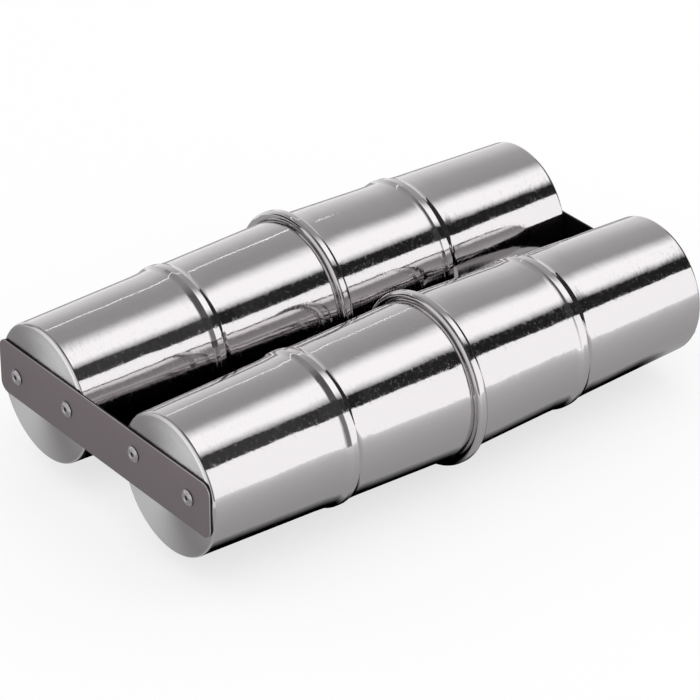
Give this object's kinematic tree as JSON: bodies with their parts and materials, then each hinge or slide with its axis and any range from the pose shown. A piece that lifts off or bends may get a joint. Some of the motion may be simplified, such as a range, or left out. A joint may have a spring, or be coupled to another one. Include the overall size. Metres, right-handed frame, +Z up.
{
  "type": "ganza shaker",
  "caption": "Double-tube metal shaker: tapered sheet-metal cups locked mouth to mouth by rolled seams, tubes tied side by side by riveted end straps, loose shot running inside",
  "frame": {"origin": "under the middle of the assembly, at the lowest point of the two seam bands", "axes": "+X along the tubes from the near end to the far end, +Y from the front tube to the rear tube, +Z up"},
  "size_m": [0.2546, 0.1582, 0.0738],
  "materials": {
    "polished_cups": "mirror-polished sheet steel with faint polishing lines round the tube",
    "satin_straps": "satin steel strap, grained along its length",
    "rivets": "bright domed blind rivets",
    "mandrels": "dull broken steel",
    "shot": "plain steel balls"
  },
  "bodies": {
    "shell": {"front_near_cup": "polished_cups", "front_far_cup": "polished_cups", "rear_near_cup": "polished_cups", "rear_far_cup": "polished_cups", "near_strap": "satin_straps", "far_strap": "satin_straps", "front_near_rivets": "rivets", "rear_near_rivets": "rivets", "front_far_rivets": "rivets", "rear_far_rivets": "rivets", "front_near_mandrels": "mandrels", "rear_near_mandrels": "mandrels", "front_far_mandrels": "mandrels", "rear_far_mandrels": "mandrels"},
    "front_charge": {"front_shot": "shot"},
    "rear_charge": {"rear_shot": "shot"}
  },
  "joints": [
    {"name": "front_shot_slide", "type": "slide", "parent": "shell", "child": "front_charge", "axis": [1, 0, 0], "range_m": [0, 0.216]},
    {"name": "rear_shot_slide", "type": "slide", "parent": "shell", "child": "rear_charge", "axis": [1, 0, 0], "range_m": [0, 0.216]}
  ]
}
